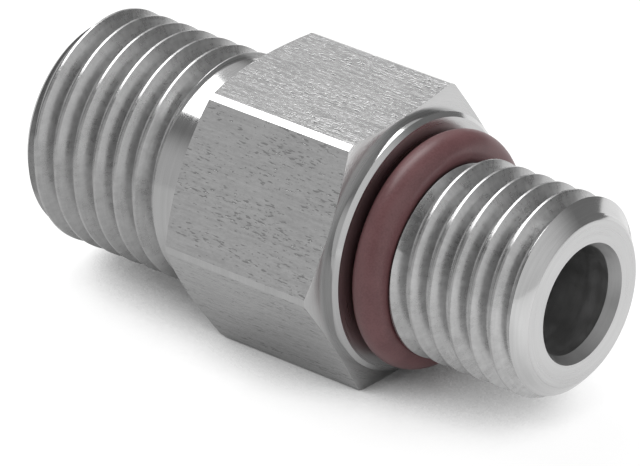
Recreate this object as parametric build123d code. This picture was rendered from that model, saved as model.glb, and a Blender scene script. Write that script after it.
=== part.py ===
from build123d import *

import math
import os

# A straight adapter turned from hexagon bar, with a tube end, a port stud and an O-ring.
# It lies on one flat of its hexagon. +X runs along the axis towards the port stud, +Z is up,
# and the origin is on the axis, in the plane of the collar's front face. Sizes are in millimetres.

# Hexagon
across_flats = 16.0
corner_diameter = 18.22
hex_length = 11.0
port_side_chamfer_deg = 15.0
tube_side_chamfer_deg = 25.0

# Collar that seats on the face of the port
collar_diameter = 15.0
collar_length = 0.8
collar_chamfer = 0.25

# Port stud, at the outer diameter of its 12 mm fine thread
stud_diameter = 12.0
stud_length = 11.5
stud_nose_diameter = 9.8
stud_nose_angle_deg = 50.0

# Groove behind the stud's thread, which the O-ring lies in
groove_diameter = 9.7
groove_floor_width = 2.4
groove_exit_angle_deg = 85.0

# O-ring
ring_section_diameter = 2.2
ring_to_collar_gap = 0.15
ring_seat_clearance = 0.04

# Tube end, at the outer diameter of its 14 mm fine thread, and its neck
tube_end_diameter = 14.0
tube_end_length = 12.7
tube_end_nose_diameter = 12.0
tube_end_nose_angle_deg = 45.0
neck_diameter = 13.6
neck_width = 2.53
neck_corner_radius = 0.3

# Through bore with its mouth, and the coned seat for an 8 mm tube at the other end
bore_diameter = 6.5
mouth_diameter = 7.2
mouth_half_angle_deg = 27.0
tube_bore_diameter = 8.0
tube_bore_depth = 7.0
cone_mouth_diameter = 10.1
cone_half_angle_deg = 12.0

# Places along the axis that follow from the sizes
hex_front = -collar_length
hex_back = hex_front - hex_length
tube_end_face = hex_back - tube_end_length
stud_face = stud_length
ring_centre = ring_to_collar_gap + ring_section_diameter / 2


def run(radial, angle_deg):
    """Length along the axis of a slope that rises by radial at this angle to the axis."""
    return radial / math.tan(math.radians(angle_deg))


def turned(points):
    """Solid of revolution under the outline given as (place along the axis, diameter) points."""
    outline = [(points[0][0], 0)] + [(x, d / 2) for x, d in points] + [(points[-1][0], 0)]
    face = make_face(Polyline(*outline, close=True).edges())
    return revolve(face, Axis.X)


def hexagon():
    """Length of hexagon bar with its corners turned down and both ends chamfered."""
    rise = (corner_diameter - across_flats) / 2
    front_run = rise * math.tan(math.radians(port_side_chamfer_deg))
    back_run = rise * math.tan(math.radians(tube_side_chamfer_deg))
    envelope = turned([
        (hex_back, across_flats),
        (hex_back + back_run, corner_diameter),
        (hex_front - front_run, corner_diameter),
        (hex_front, across_flats),
    ])
    section = Plane.YZ * RegularPolygon(across_flats / 2, 6, major_radius=False)
    bar = Pos(hex_back, 0, 0) * extrude(section, hex_length)
    return envelope & bar


def collar():
    """Round collar with a small chamfer round its front face."""
    return turned([
        (hex_front, collar_diameter),
        (-collar_chamfer, collar_diameter),
        (0, collar_diameter - 2 * collar_chamfer),
    ])


def stud():
    """Port stud with the O-ring groove at its root and a chamfered nose."""
    groove_exit = groove_floor_width + run((stud_diameter - groove_diameter) / 2, groove_exit_angle_deg)
    nose = stud_face - run((stud_diameter - stud_nose_diameter) / 2, stud_nose_angle_deg)
    return turned([
        (0, groove_diameter),
        (groove_floor_width, groove_diameter),
        (groove_exit, stud_diameter),
        (nose, stud_diameter),
        (stud_face, stud_nose_diameter),
    ])


def tube_end():
    """Tube end with the neck at its root and a chamfered nose."""
    neck_start = hex_back - neck_width
    nose = tube_end_face + run((tube_end_diameter - tube_end_nose_diameter) / 2, tube_end_nose_angle_deg)
    return turned([
        (tube_end_face, tube_end_nose_diameter),
        (nose, tube_end_diameter),
        (neck_start, tube_end_diameter),
        (neck_start, neck_diameter),
        (hex_back, neck_diameter),
    ])


def neck_corner():
    """Hollow round in the corner between the neck and the hexagon."""
    neck_radius = neck_diameter / 2
    foot = (hex_back - neck_corner_radius, neck_radius)
    top = (hex_back, neck_radius + neck_corner_radius)
    sides = Polyline(foot, (hex_back, neck_radius), top)
    return revolve(make_face([*sides.edges(), RadiusArc(foot, top, -neck_corner_radius)]), Axis.X)


def passage():
    """Hollow of the through bore, its countersunk mouth and the coned tube seat."""
    tube_stop = tube_end_face + tube_bore_depth
    cone_end = tube_end_face + run((cone_mouth_diameter - tube_bore_diameter) / 2, cone_half_angle_deg)
    mouth_start = stud_face - run((mouth_diameter - bore_diameter) / 2, mouth_half_angle_deg)
    return turned([
        (tube_end_face, cone_mouth_diameter),
        (cone_end, tube_bore_diameter),
        (tube_stop, tube_bore_diameter),
        (tube_stop, bore_diameter),
        (mouth_start, bore_diameter),
        (stud_face, mouth_diameter),
    ])


def adapter_body():
    """The one turned steel piece."""
    return hexagon() + collar() + stud() + tube_end() + neck_corner() - passage()


def o_ring():
    """Ring of round section, stretched over the floor of the groove."""
    section_radius = ring_section_diameter / 2
    centre_radius = groove_diameter / 2 + ring_seat_clearance + section_radius
    return Pos(ring_centre, 0, 0) * Rot(0, 90, 0) * Torus(centre_radius, section_radius)


nodes = {
    "adapter_body": adapter_body(),
    "o_ring": o_ring(),
}

os.makedirs("parts", exist_ok=True)
for name, piece in nodes.items():
    export_step(piece, f"parts/{name}.step")
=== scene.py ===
import math

import bmesh
import bpy
from mathutils import Matrix, Vector


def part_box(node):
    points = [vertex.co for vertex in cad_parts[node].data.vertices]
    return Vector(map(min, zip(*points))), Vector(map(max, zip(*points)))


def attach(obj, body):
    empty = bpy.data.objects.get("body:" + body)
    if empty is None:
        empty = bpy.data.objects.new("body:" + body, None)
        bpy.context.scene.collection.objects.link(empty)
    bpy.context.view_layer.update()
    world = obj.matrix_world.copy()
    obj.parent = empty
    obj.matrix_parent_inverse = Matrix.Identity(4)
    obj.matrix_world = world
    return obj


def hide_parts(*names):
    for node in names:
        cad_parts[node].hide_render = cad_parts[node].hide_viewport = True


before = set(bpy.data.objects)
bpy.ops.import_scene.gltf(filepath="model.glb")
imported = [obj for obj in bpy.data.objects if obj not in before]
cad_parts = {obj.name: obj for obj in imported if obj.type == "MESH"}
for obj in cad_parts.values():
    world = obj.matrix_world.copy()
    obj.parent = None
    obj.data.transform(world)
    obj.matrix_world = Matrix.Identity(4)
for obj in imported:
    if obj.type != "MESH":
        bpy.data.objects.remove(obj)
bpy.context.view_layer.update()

# The adapter lies on one flat of its hexagon. X is its axis and points to the port stud, Z is up,
# and x = 0 is the collar's front face. Lengths are in millimetres until a mesh is finished.
MM = 0.001
body_low, body_high = [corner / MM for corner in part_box("adapter_body")]
ring_low, ring_high = [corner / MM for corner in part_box("o_ring")]

# Hexagon, with its corners turned down and both ends chamfered
across_flats = body_high.z - body_low.z
corner_radius = body_high.y
hex_front = -0.8
hex_back = -11.8
port_side_chamfer = math.radians(15)
tube_side_chamfer = math.radians(25)

# Collar
collar_radius = 7.7
collar_chamfer = 0.25
groove_corner = 0.25

# Both threads: fine, right-handed, of 60 degree form
flank_angle = math.radians(30)
crest_share = 1 / 8
crest_break = 0.04
root_round = 0.2

# Port stud
stud_face = body_high.x
stud_radius = 6.0
stud_nose_radius = 4.9
stud_nose_angle = math.radians(50)
stud_root_radius = 5.12
stud_pitch = 1.425
stud_crest_at_top = 3.57
groove_radius = 4.85
groove_floor = 2.4
groove_exit = 2.5
stud_nose = stud_face - (stud_radius - stud_nose_radius) / math.tan(stud_nose_angle)

# Tube end and its neck
tube_end_face = body_low.x
tube_end_radius = 7.0
tube_end_nose_radius = 6.0
tube_nose = tube_end_face + tube_end_radius - tube_end_nose_radius
tube_end_root_radius = 6.08
tube_end_pitch = 1.5
tube_end_crest_at_top = -23.34
run_out_start = -14.5
run_out_slope = 1.2
neck_radius = 6.8
neck_start = -14.33
neck_corner = 0.3

# Passage: through bore, its countersunk mouth, and the coned seat for a tube
bore_radius = 3.25
mouth_radius = 3.6
mouth_start = 10.81
tube_bore_radius = 4.0
tube_stop = -17.5
cone_end = -19.56
cone_mouth_radius = 5.05

# Small break on turned edges: its width on the end faces, its depth, and its rise on the stud's nose
edge_break = 0.06
edge_depth = 0.024
stud_edge_rise = 0.03

# How far a cutter stands above a crest, and how far a coil runs on past its thread
above_crest = 0.06
coil_overrun = 0.8

# Floor, how far the painted close shadow of the adapter reaches on it, and where the painted shade in its
# reflections lifts so that it grows paler: from one distance to the other, in the direction at this angle
# from +X
floor_reach = 3000
shadow_reach = 9.0
pale_from = -10
pale_to = 15
pale_direction = math.radians(50)

# How finely the round faces are divided
STEPS = 256
ROUND_STEPS = 6
RING_STEPS_AROUND = 192
RING_STEPS_ABOUT = 48
SMOOTH_ANGLE = math.radians(26)


def radius_and_angle(radius, angle):
    """Place off the axis, with the angle counted from straight up towards the camera's side."""
    return (-radius * math.sin(angle), radius * math.cos(angle))


def fillet_arc(centre_x, centre_radius, size, start, end, steps=ROUND_STEPS):
    """Outline points on an arc, its angles in degrees counted from +X towards growing radius."""
    turns = [math.radians(start + (end - start) * k / steps) for k in range(steps + 1)]
    return [(centre_x + size * math.cos(t), centre_radius + size * math.sin(t)) for t in turns]


def new_object(name, verts, faces):
    mesh = bpy.data.meshes.new(name)
    mesh.from_pydata(verts, [], faces)
    shape = bmesh.new()
    shape.from_mesh(mesh)
    bmesh.ops.recalc_face_normals(shape, faces=shape.faces)
    shape.to_mesh(mesh)
    shape.free()
    piece = bpy.data.objects.new(name, mesh)
    bpy.context.scene.collection.objects.link(piece)
    return piece


def lathe(name, outline, steps=STEPS):
    """Closed solid turned about X, from (x, radius) points that run from one end of the axis to the other."""
    verts, rows = [], []
    for x, radius in outline:
        count = steps if radius > 0 else 1
        rows.append(range(len(verts), len(verts) + count))
        verts += [(x, *radius_and_angle(radius, 2 * math.pi * k / steps)) for k in range(count)]
    faces = []
    for near, far in zip(rows, rows[1:]):
        for k in range(steps):
            corners = [near[k % len(near)], far[k % len(far)],
                       far[(k + 1) % len(far)], near[(k + 1) % len(near)]]
            faces.append(list(dict.fromkeys(corners)))
    return new_object(name, verts, faces)


def combine(base, tool, how):
    """Cuts the tool out of the base, adds it, or keeps what they share, and removes the tool."""
    step = base.modifiers.new(how, "BOOLEAN")
    step.operation = how
    step.solver = "MANIFOLD"
    step.object = tool
    bpy.context.view_layer.update()
    done = base.evaluated_get(bpy.context.evaluated_depsgraph_get())
    mesh = bpy.data.meshes.new_from_object(done)
    base.modifiers.clear()
    mesh.materials.clear()
    base.data = mesh
    bpy.data.objects.remove(tool)
    return base


def turned_blank():
    """Everything outside the hexagon that the lathe turns, before threading and boring."""
    inside_hexagon = (hex_back + hex_front) / 2
    outline = [
        (tube_end_face, 0),
        (tube_end_face, tube_end_nose_radius - edge_break),
        (tube_end_face + edge_depth, tube_end_nose_radius + edge_depth),
        (tube_nose, tube_end_radius),
        (neck_start, tube_end_radius),
        (neck_start, neck_radius),
        *fillet_arc(hex_back - neck_corner, neck_radius + neck_corner, neck_corner, -90, 0),
        (inside_hexagon, neck_radius + neck_corner),
        (inside_hexagon, collar_radius),
        (-collar_chamfer, collar_radius),
        (0, collar_radius - collar_chamfer),
        *reversed(fillet_arc(groove_corner, groove_radius + groove_corner, groove_corner, 270, 180)),
        (groove_floor, groove_radius),
        (groove_exit, stud_radius),
        (stud_nose, stud_radius),
        (stud_face - edge_depth, stud_nose_radius + stud_edge_rise),
        (stud_face, stud_nose_radius - edge_break),
        (stud_face, 0),
    ]
    return lathe("adapter_steel", outline)


def hexagon_block():
    """Hexagon bar inside the turned envelope that chamfers its ends and turns down its corners."""
    flat = across_flats / 2
    rise = corner_radius - flat
    envelope = lathe("hexagon", [
        (hex_back, 0),
        (hex_back, flat),
        (hex_back + rise * math.tan(tube_side_chamfer), corner_radius),
        (hex_front - rise * math.tan(port_side_chamfer), corner_radius),
        (hex_front, flat),
        (hex_front, 0),
    ], steps=2 * STEPS)
    reach = flat / math.cos(math.radians(30))
    ends = (hex_back - 1, hex_front + 1)
    angles = [math.radians(30 + 60 * k) for k in range(6)]
    verts = [(x, *radius_and_angle(reach, a)) for x in ends for a in angles]
    sides = [(k, (k + 1) % 6, 6 + (k + 1) % 6, 6 + k) for k in range(6)]
    bar = new_object("bar", verts, [(5, 4, 3, 2, 1, 0), (6, 7, 8, 9, 10, 11), *sides])
    return combine(envelope, bar, "INTERSECT")


def groove_section(pitch, root_radius, crest_radius):
    """Section of the thread's groove as (offset along the axis, radius), rounded at the root."""
    half_crest = pitch * (1 - crest_share) / 2
    turns = [math.radians(-150 + 120 * k / ROUND_STEPS) for k in range(ROUND_STEPS + 1)]
    centre = root_radius + root_round
    root = [(root_round * math.cos(t), centre + root_round * math.sin(t)) for t in turns]
    flank_top = half_crest - crest_break * math.tan(flank_angle)
    crest_edge = half_crest + crest_break / 2
    right = [
        (flank_top, crest_radius - crest_break),
        (crest_edge, crest_radius),
        (crest_edge + above_crest / 2, crest_radius + above_crest),
    ]
    left = [(-x, r) for x, r in reversed(right)]
    return left + root + right


def no_run_out(x):
    """The groove keeps its depth to its end."""
    return 0.0


def neck_run_out(x):
    """How far the groove has risen where the thread runs out at the neck."""
    return max(0.0, (x - run_out_start) * run_out_slope)


def thread_cutter(pitch, crest_at_top, root_radius, crest_radius, x_from, x_to, lift=no_run_out):
    """Coil that cuts one right-hand thread, with its groove midway between the crests."""
    section = groove_section(pitch, root_radius, crest_radius)
    groove_at_top = crest_at_top + pitch / 2
    first = math.floor((x_from - groove_at_top) / pitch * STEPS)
    last = math.ceil((x_to - groove_at_top) / pitch * STEPS)
    verts = []
    for k in range(first, last + 1):
        turn = k / STEPS
        x = groove_at_top + pitch * turn
        rise = lift(x)
        verts += [(x + dx, *radius_and_angle(r + rise, 2 * math.pi * turn)) for dx, r in section]
    n = len(section)
    rows = last - first
    faces = [
        (k * n + i, k * n + (i + 1) % n, (k + 1) * n + (i + 1) % n, (k + 1) * n + i)
        for k in range(rows) for i in range(n)
    ]
    faces += [tuple(reversed(range(n))), tuple(range(rows * n, rows * n + n))]
    return new_object("thread", verts, faces)


def passage_cutter():
    """Hollow that runs through the adapter."""
    past = 1.0
    cone_slope = (cone_mouth_radius - tube_bore_radius) / (cone_end - tube_end_face)
    mouth_slope = (mouth_radius - bore_radius) / (stud_face - mouth_start)
    return lathe("passage", [
        (tube_end_face - past, 0),
        (tube_end_face - past, cone_mouth_radius + past * cone_slope),
        (cone_end, tube_bore_radius),
        (tube_stop, tube_bore_radius),
        (tube_stop, bore_radius),
        (mouth_start, bore_radius),
        (stud_face + past, mouth_radius + past * mouth_slope),
        (stud_face + past, 0),
    ])


def shade_round_faces(piece):
    """Shades round faces smooth and keeps real edges sharp."""
    piece.data.shade_smooth()
    piece.data.set_sharp_from_angle(angle=SMOOTH_ANGLE)


def adapter_steel():
    """The one steel piece."""
    steel = turned_blank()
    stud_coil = thread_cutter(
        stud_pitch, stud_crest_at_top, stud_root_radius, stud_radius,
        groove_floor - coil_overrun, stud_face + coil_overrun)
    combine(steel, stud_coil, "DIFFERENCE")
    tube_end_coil = thread_cutter(
        tube_end_pitch, tube_end_crest_at_top, tube_end_root_radius, tube_end_radius,
        tube_end_face - coil_overrun, neck_start + coil_overrun, neck_run_out)
    combine(steel, tube_end_coil, "DIFFERENCE")
    combine(steel, hexagon_block(), "UNION")
    combine(steel, passage_cutter(), "DIFFERENCE")
    steel.data.transform(Matrix.Scale(MM, 4))
    shade_round_faces(steel)
    return steel


def seal_ring():
    """O-ring of round section, lying in its groove."""
    section = (ring_high.x - ring_low.x) / 2
    centre = ring_high.z - section
    middle = (ring_high.x + ring_low.x) / 2
    around, about = RING_STEPS_AROUND, RING_STEPS_ABOUT
    verts = []
    for k in range(around):
        turn = 2 * math.pi * k / around
        for i in range(about):
            t = 2 * math.pi * i / about
            radius = centre + section * math.cos(t)
            verts.append((middle + section * math.sin(t), *radius_and_angle(radius, turn)))
    faces = [
        (k * about + i, k * about + (i + 1) % about,
         (k + 1) % around * about + (i + 1) % about, (k + 1) % around * about + i)
        for k in range(around) for i in range(about)
    ]
    ring = new_object("seal_ring", verts, faces)
    ring.data.transform(Matrix.Scale(MM, 4))
    shade_round_faces(ring)
    return ring


# Zones of the steel piece, each with its own finish, and the limits that tell them apart:
# a face square to the axis or along it, from its normal's share along X, and slack in millimetres
ZONES = ("bar_flat", "turned_round", "faced_end", "thread_flank", "bored_wall")
square_share = 0.9
along_share = 0.02
slack = 0.01
wall_slack = 0.1


def zone_of(centre, normal):
    """Finish of a face of the steel piece, from its middle in millimetres and its normal."""
    x = centre.x
    radius = math.hypot(centre.y, centre.z)
    outward = normal.y * centre.y + normal.z * centre.z
    square = abs(normal.x)
    hollow = outward < 0 and radius < cone_mouth_radius + wall_slack and not in_groove(x, radius)
    if hollow and square < square_share:
        return "bored_wall"
    if square > square_share:
        return "faced_end"
    if hex_back < x < hex_front and square < along_share and abs(outward - across_flats / 2) < slack:
        return "bar_flat"
    if groove_exit < x < stud_nose or tube_nose < x < neck_start - slack:
        return "thread_flank"
    return "turned_round"


def in_groove(x, radius):
    """True for the walls of the seal groove, whose faces may point at the axis' far side."""
    return 0 <= x <= groove_exit and radius > groove_radius - wall_slack


def paint_zones(steel):
    """Gives each face of the steel piece the finish of its zone."""
    for make in (bar_flat, turned_round, faced_end, thread_flank, bored_wall):
        steel.data.materials.append(make())
    for face in steel.data.polygons:
        face.material_index = ZONES.index(zone_of(face.center / MM, face.normal))


def node(tree, kind, inputs=(), **settings):
    """Adds a node. An input is a socket to link from, or a value to set."""
    made = tree.nodes.new(kind)
    for key, value in settings.items():
        setattr(made, key, value)
    for key, value in dict(inputs).items():
        if isinstance(value, bpy.types.NodeSocket):
            tree.links.new(value, made.inputs[key])
        else:
            made.inputs[key].default_value = value
    return made


def maths(tree, operation, *terms):
    """Result of one sum on sockets or numbers."""
    return node(tree, "ShaderNodeMath", enumerate(terms), operation=operation).outputs[0]


def spread(tree, value, low, high, to_low=0.0, to_high=1.0):
    """Stretches the values between low and high, softly, over the new range."""
    inputs = {"Value": value, "From Min": low, "From Max": high, "To Min": to_low, "To Max": to_high}
    return node(tree, "ShaderNodeMapRange", inputs, interpolation_type="SMOOTHSTEP").outputs["Result"]


def new_group(name, inputs, outputs):
    """Node group with these value inputs (name to default) and value outputs."""
    group = bpy.data.node_groups.new(name, "ShaderNodeTree")
    for title, default in inputs.items():
        socket = group.interface.new_socket(title, in_out="INPUT", socket_type="NodeSocketFloat")
        socket.default_value = default
    for title in outputs:
        group.interface.new_socket(title, in_out="OUTPUT", socket_type="NodeSocketFloat")
    return group, group.nodes.new("NodeGroupInput").outputs, group.nodes.new("NodeGroupOutput").inputs


def around_axis(tree):
    """Sockets for the place along the axis and the radius in mm, and the direction round the axis."""
    place = node(tree, "ShaderNodeTexCoord").outputs["Object"]
    parts = node(tree, "ShaderNodeSeparateXYZ", {0: place}).outputs
    x, y, z = [maths(tree, "MULTIPLY", part, 1 / MM) for part in parts]
    squares = [maths(tree, "MULTIPLY", part, part) for part in (y, z)]
    radius = maths(tree, "SQRT", maths(tree, "ADD", *squares))
    safe = maths(tree, "MAXIMUM", radius, slack)
    return x, radius, maths(tree, "DIVIDE", y, safe), maths(tree, "DIVIDE", z, safe)


def noise(tree, along, out, side, up, detail=2.0, roughness=0.5):
    """Noise over four coordinates, which never shows a seam round the axis."""
    vector = node(tree, "ShaderNodeCombineXYZ", {0: along, 1: out, 2: side}).outputs[0]
    inputs = {"Vector": vector, "W": up, "Scale": 1.0, "Detail": detail, "Roughness": roughness}
    return node(tree, "ShaderNodeTexNoise", inputs, noise_dimensions="4D").outputs["Fac"]


def turning_marks():
    """Fine rings that a lathe tool leaves. Marks is how many there are to a millimetre."""
    group, given, out = new_group("turning_marks", {"Marks": 12.0, "Wander": 1.0}, ("Tone", "Height"))
    x, radius, side, up = around_axis(group)
    along = maths(group, "MULTIPLY", x, given["Marks"])
    outward = maths(group, "MULTIPLY", radius, given["Marks"])
    round_side = maths(group, "MULTIPLY", side, given["Wander"])
    round_up = maths(group, "MULTIPLY", up, given["Wander"])
    fine = noise(group, along, outward, round_side, round_up, detail=2.0)
    wide = noise(
        group, maths(group, "MULTIPLY", along, 0.15), maths(group, "MULTIPLY", outward, 0.15),
        maths(group, "MULTIPLY", round_side, 2.0), maths(group, "MULTIPLY", round_up, 2.0))
    tone = maths(group, "ADD", maths(group, "MULTIPLY", fine, 0.4), maths(group, "MULTIPLY", wide, 0.6))
    group.links.new(spread(group, tone, 0.3, 0.7), out["Tone"])
    group.links.new(fine, out["Height"])
    return group


def cross_marks():
    """Short marks that run across the threads' flanks. Marks is how many there are to a radian."""
    group, given, out = new_group("cross_marks", {"Marks": 20.0}, ("Tone", "Height"))
    x, radius, side, up = around_axis(group)
    round_side = maths(group, "MULTIPLY", side, given["Marks"])
    round_up = maths(group, "MULTIPLY", up, given["Marks"])
    fine = noise(group, maths(group, "MULTIPLY", x, 1.3), maths(group, "MULTIPLY", radius, 2.0),
                 round_side, round_up, detail=3.0, roughness=0.65)
    group.links.new(spread(group, fine, 0.3, 0.7), out["Tone"])
    group.links.new(fine, out["Height"])
    return group


def drawn_bar():
    """Skin of drawn bar: streaks along it, short dark drag marks in rows, and small pits."""
    group, given, out = new_group("drawn_bar", {"Marks": 1.0}, ("Tone", "Pits", "Height"))
    place = node(group, "ShaderNodeTexCoord").outputs["Object"]
    x, y, z = [maths(group, "MULTIPLY", part, 1 / MM)
               for part in node(group, "ShaderNodeSeparateXYZ", {0: place}).outputs]

    def grain(along, across, offset, detail=2.0, roughness=0.5):
        return noise(group, maths(group, "MULTIPLY", x, along), maths(group, "MULTIPLY", y, across),
                     maths(group, "MULTIPLY", z, across), offset, detail, roughness)

    streaks = grain(0.35, 5.0, 1.0)
    mottle = grain(2.6, 6.5, 7.0, 3.0, 0.6)
    drags = grain(1.9, 9.0, 13.0, 1.0)
    rows = grain(0.12, 0.9, 19.0)
    specks = grain(5.0, 8.0, 29.0, 1.0)
    drag_mask = spread(group, maths(group, "ADD", drags, maths(group, "MULTIPLY", rows, 0.45)), 0.84, 0.94)
    speck_mask = spread(group, maths(group, "ADD", specks, maths(group, "MULTIPLY", rows, 0.2)), 0.78, 0.88)
    pits = maths(group, "MULTIPLY", maths(group, "MAXIMUM", drag_mask, speck_mask), given["Marks"])
    halves = [maths(group, "MULTIPLY", part, 0.5) for part in (streaks, mottle)]
    tone = maths(group, "ADD", *halves)
    height = maths(group, "SUBTRACT", tone, maths(group, "MULTIPLY", pits, 0.5))
    group.links.new(spread(group, tone, 0.32, 0.68), out["Tone"])
    group.links.new(pits, out["Pits"])
    group.links.new(height, out["Height"])
    return group


def place_group(tree, group, **values):
    """Adds the shared group to a material, with that material's own values."""
    made = node(tree, "ShaderNodeGroup", node_tree=group)
    for key, value in values.items():
        made.inputs[key].default_value = value
    return made.outputs


def between(tree, mask, first, second):
    """Colour that changes from the first grey or colour to the second with the mask."""
    low, high = [(c, c, c, 1) if isinstance(c, float) else (*c, 1) for c in (first, second)]
    made = node(tree, "ShaderNodeMix", data_type="RGBA")
    tree.links.new(mask, made.inputs[0])
    made.inputs[6].default_value = low
    made.inputs[7].default_value = high
    return made.outputs[2]


def finish_material(name, metallic):
    """New material, with its node tree and its shader's inputs."""
    mat = bpy.data.materials.new(name)
    mat.use_nodes = True
    shader = mat.node_tree.nodes["Principled BSDF"]
    shader.inputs["Metallic"].default_value = metallic
    return mat, mat.node_tree, shader.inputs


def bump(tree, shader, height, depth_mm):
    """Raises the surface by the height, to this depth in millimetres."""
    inputs = {"Height": height, "Distance": depth_mm * MM, "Strength": 1.0}
    tree.links.new(node(tree, "ShaderNodeBump", inputs).outputs[0], shader["Normal"])


def bar_flat():
    """The hexagon's six flats, left as the bar was drawn."""
    mat, tree, shader = finish_material("bar_flat", 1)
    skin = place_group(tree, DRAWN_BAR, Marks=1.0)
    clean = between(tree, skin["Tone"], 0.5, 0.64)
    colour = node(tree, "ShaderNodeMix", {0: skin["Pits"], 6: clean}, data_type="RGBA")
    colour.inputs[7].default_value = (0.36, 0.36, 0.36, 1)
    tree.links.new(colour.outputs[2], shader["Base Color"])
    tree.links.new(spread(tree, skin["Tone"], 0.0, 1.0, 0.17, 0.25), shader["Roughness"])
    bump(tree, shader, skin["Height"], 0.012)
    return mat


def turned_round():
    """Collar, neck, noses, and the hexagon's turned corners: bright from a finishing cut."""
    mat, tree, shader = finish_material("turned_round", 1)
    marks = place_group(tree, TURNING_MARKS, Marks=9.0, Wander=0.8)
    tree.links.new(between(tree, marks["Tone"], 0.54, 0.62), shader["Base Color"])
    tree.links.new(spread(tree, marks["Tone"], 0.0, 1.0, 0.1, 0.16), shader["Roughness"])
    bump(tree, shader, marks["Height"], 0.0012)
    return mat


def faced_end():
    """Faces square to the axis, with the satin of a facing cut."""
    mat, tree, shader = finish_material("faced_end", 1)
    marks = place_group(tree, TURNING_MARKS, Marks=14.0, Wander=0.6)
    tree.links.new(between(tree, marks["Tone"], 0.54, 0.62), shader["Base Color"])
    tree.links.new(spread(tree, marks["Tone"], 0.0, 1.0, 0.26, 0.36), shader["Roughness"])
    bump(tree, shader, marks["Height"], 0.003)
    return mat


def thread_flank():
    """Threads, with rings from cutting and short marks across the flanks."""
    mat, tree, shader = finish_material("thread_flank", 1)
    across = place_group(tree, CROSS_MARKS, Marks=17.0)
    marks = place_group(tree, TURNING_MARKS, Marks=7.0, Wander=2.0)
    tone = maths(tree, "MULTIPLY", maths(tree, "ADD", across["Tone"], marks["Tone"]), 0.5)
    tree.links.new(between(tree, tone, 0.44, 0.64), shader["Base Color"])
    tree.links.new(spread(tree, tone, 0.0, 1.0, 0.25, 0.35), shader["Roughness"])
    height = maths(tree, "ADD", across["Height"], maths(tree, "MULTIPLY", marks["Height"], 0.3))
    bump(tree, shader, height, 0.01)
    return mat


def bored_wall():
    """Inside of the passage, duller than the outside."""
    mat, tree, shader = finish_material("bored_wall", 1)
    marks = place_group(tree, TURNING_MARKS, Marks=6.0, Wander=1.5)
    tree.links.new(between(tree, marks["Tone"], 0.48, 0.58), shader["Base Color"])
    tree.links.new(spread(tree, marks["Tone"], 0.0, 1.0, 0.45, 0.58), shader["Roughness"])
    bump(tree, shader, marks["Height"], 0.006)
    return mat


def seal_rubber():
    """Brown-red moulded rubber with a faint grain and a dull sheen."""
    mat, tree, shader = finish_material("seal_rubber", 0)
    place = node(tree, "ShaderNodeTexCoord").outputs["Object"]
    fine = {"Vector": place, "Scale": 9 / MM, "Detail": 3.0}
    grain = node(tree, "ShaderNodeTexNoise", fine).outputs["Fac"]
    wide = {"Vector": place, "Scale": 0.5 / MM, "Detail": 2.0}
    cloud = node(tree, "ShaderNodeTexNoise", wide).outputs["Fac"]
    tone = maths(tree, "MULTIPLY", maths(tree, "ADD", grain, cloud), 0.5)
    dark_red = (0.175, 0.073, 0.078)
    pale_red = (0.225, 0.102, 0.107)
    colour = between(tree, spread(tree, tone, 0.35, 0.65), dark_red, pale_red)
    tree.links.new(colour, shader["Base Color"])
    tree.links.new(spread(tree, grain, 0.3, 0.7, 0.32, 0.44), shader["Roughness"])
    bump(tree, shader, grain, 0.004)
    return mat


def place_camera():
    """Camera as in the photograph, from the fit of the hexagon's, bore's and threads' edges."""
    image_width, image_height = 640, 466
    azimuth, elevation, roll = (math.radians(a) for a in (40.696, 30.380, -2.445))
    origin_across, origin_down = 421.53, 242.70
    scale = 17.667
    distance = 388.0
    back = Vector((math.sin(azimuth) * math.cos(elevation),
                   -math.cos(azimuth) * math.cos(elevation), math.sin(elevation)))
    level = Vector((math.cos(azimuth), math.sin(azimuth), 0))
    upright = back.cross(level)
    right = math.cos(roll) * level + math.sin(roll) * upright
    up = back.cross(right)
    data = bpy.data.cameras.new("camera")
    data.sensor_width = 36
    data.lens = scale * distance / image_width * data.sensor_width
    data.clip_start = 0.01
    data.clip_end = 20
    camera = bpy.data.objects.new("camera", data)
    across = (origin_across - image_width / 2) / scale
    above = (image_height / 2 - origin_down) / scale
    place = back * distance - right * across - up * above
    turn = Matrix((right, up, back)).transposed()
    camera.matrix_world = Matrix.Translation(place * MM) @ turn.to_4x4()
    bpy.context.scene.collection.objects.link(camera)
    bpy.context.scene.camera = camera


def area_lamp(name, azimuth, elevation, distance, width, height, level):
    """Soft box facing the adapter, at these angles as seen from it, azimuth counted from +X."""
    a, e = math.radians(azimuth), math.radians(elevation)
    toward = Vector((math.cos(a) * math.cos(e), math.sin(a) * math.cos(e), math.sin(e)))
    data = bpy.data.lights.new(name, "AREA")
    data.shape = "RECTANGLE"
    data.size = width
    data.size_y = height
    data.energy = level * width * height * math.pi
    lamp = bpy.data.objects.new(name, data)
    turn = toward.to_track_quat("Z", "Y").to_matrix()
    lamp.matrix_world = Matrix.Translation(toward * distance) @ turn.to_4x4()
    bpy.context.scene.collection.objects.link(lamp)


def glow(tree, base, azimuth, elevation, core, reach, level):
    """Adds a soft bright patch to the studio's walls, full in its core and gone at its reach."""
    a, e = math.radians(azimuth), math.radians(elevation)
    toward = (math.cos(a) * math.cos(e), math.sin(a) * math.cos(e), math.sin(e))
    seen = node(tree, "ShaderNodeTexCoord").outputs["Generated"]
    facing = node(tree, "ShaderNodeVectorMath", {0: seen, 1: toward}, operation="DOT_PRODUCT")
    rim, middle = [math.cos(math.radians(angle)) for angle in (reach, core)]
    patch = spread(tree, facing.outputs["Value"], rim, middle, 0.0, level)
    return maths(tree, "ADD", base, patch)


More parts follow.
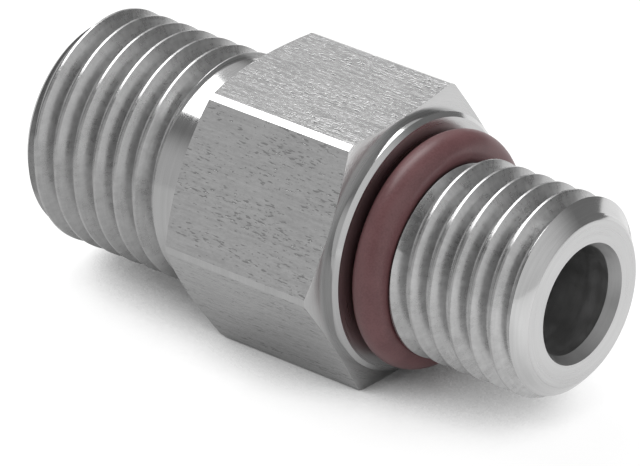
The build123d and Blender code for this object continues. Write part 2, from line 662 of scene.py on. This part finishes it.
def light_studio():
    """One large soft box above and behind to the left, in a dim studio with paler walls on three sides."""
    area_lamp("softbox", azimuth=158, elevation=57, distance=0.6, width=0.56, height=0.32, level=3.6)
    world = bpy.data.worlds.new("studio")
    world.use_nodes = True
    tree = world.node_tree
    walls = 0.22
    walls = glow(tree, walls, azimuth=140, elevation=40, core=12, reach=36, level=0.36)
    walls = glow(tree, walls, azimuth=-122, elevation=8, core=12, reach=40, level=0.34)
    walls = glow(tree, walls, azimuth=-14, elevation=24, core=20, reach=60, level=0.55)
    background = tree.nodes["Background"].inputs
    background["Color"].default_value = (1, 1, 1, 1)
    tree.links.new(walls, background["Strength"])
    bpy.context.scene.world = world


def floor_paint():
    """Pale floor. To the eye it is white, with a painted close shadow of the object that ambient occlusion
    fades into its white glow. Reflections show it too, with painted shade that darkens it towards the left
    and the front, so it is paler towards the right and the back."""
    mat = bpy.data.materials.new("floor_paint")
    mat.use_nodes = True
    tree = mat.node_tree
    tree.nodes.clear()
    plain = node(tree, "ShaderNodeBsdfDiffuse", {"Color": (0.9, 0.9, 0.9, 1)}).outputs[0]
    dim = node(tree, "ShaderNodeBsdfDiffuse", {"Color": (0.3, 0.3, 0.3, 1)}).outputs[0]
    reach = {"Distance": shadow_reach * MM}
    openness = node(tree, "ShaderNodeAmbientOcclusion", reach, samples=8).outputs["AO"]
    path = node(tree, "ShaderNodeLightPath").outputs
    place = node(tree, "ShaderNodeTexCoord").outputs["Object"]
    toward = (math.cos(pale_direction), math.sin(pale_direction), 0)
    far = node(tree, "ShaderNodeVectorMath", {0: place, 1: toward}, operation="DOT_PRODUCT")
    # Painted shade in reflections only: the floor's glow is dimmer towards the left and the front.
    pale = spread(tree, far.outputs["Value"], pale_from * MM, pale_to * MM, 0.45, 0.95)
    painted_reflection_shade = maths(tree, "MAXIMUM", pale, path["Is Camera Ray"])
    # Painted close shadow: the white glow fades where ambient occlusion finds the adapter near.
    painted_shade_strength = maths(tree, "MULTIPLY", spread(tree, openness, 0.1, 0.5, 0.0, 0.88), painted_reflection_shade)
    white = node(tree, "ShaderNodeEmission", {"Strength": painted_shade_strength}).outputs[0]
    lit = node(tree, "ShaderNodeAddShader", {0: dim, 1: white}).outputs[0]
    seen = maths(tree, "ADD", path["Is Camera Ray"], path["Is Glossy Ray"])
    seen = maths(tree, "MINIMUM", maths(tree, "ADD", seen, path["Is Transmission Ray"]), 1.0)
    surface = node(tree, "ShaderNodeMixShader", {0: seen, 1: plain, 2: lit}).outputs[0]
    node(tree, "ShaderNodeOutputMaterial", {"Surface": surface})
    return mat


def lay_floor():
    corners = [(-1, -1), (1, -1), (1, 1), (-1, 1)]
    verts = [(x * floor_reach, y * floor_reach, body_low.z) for x, y in corners]
    floor = new_object("floor", verts, [(0, 1, 2, 3)])
    floor.data.transform(Matrix.Scale(MM, 4))
    floor.data.materials.append(floor_paint())


TURNING_MARKS = turning_marks()
CROSS_MARKS = cross_marks()
DRAWN_BAR = drawn_bar()

place_camera()
steel = adapter_steel()
paint_zones(steel)
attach(steel, "root")
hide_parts("adapter_body")
ring = seal_ring()
ring.data.materials.append(seal_rubber())
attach(ring, "root")
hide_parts("o_ring")
light_studio()
lay_floor()

scene = bpy.context.scene
scene.view_settings.view_transform = "Standard"
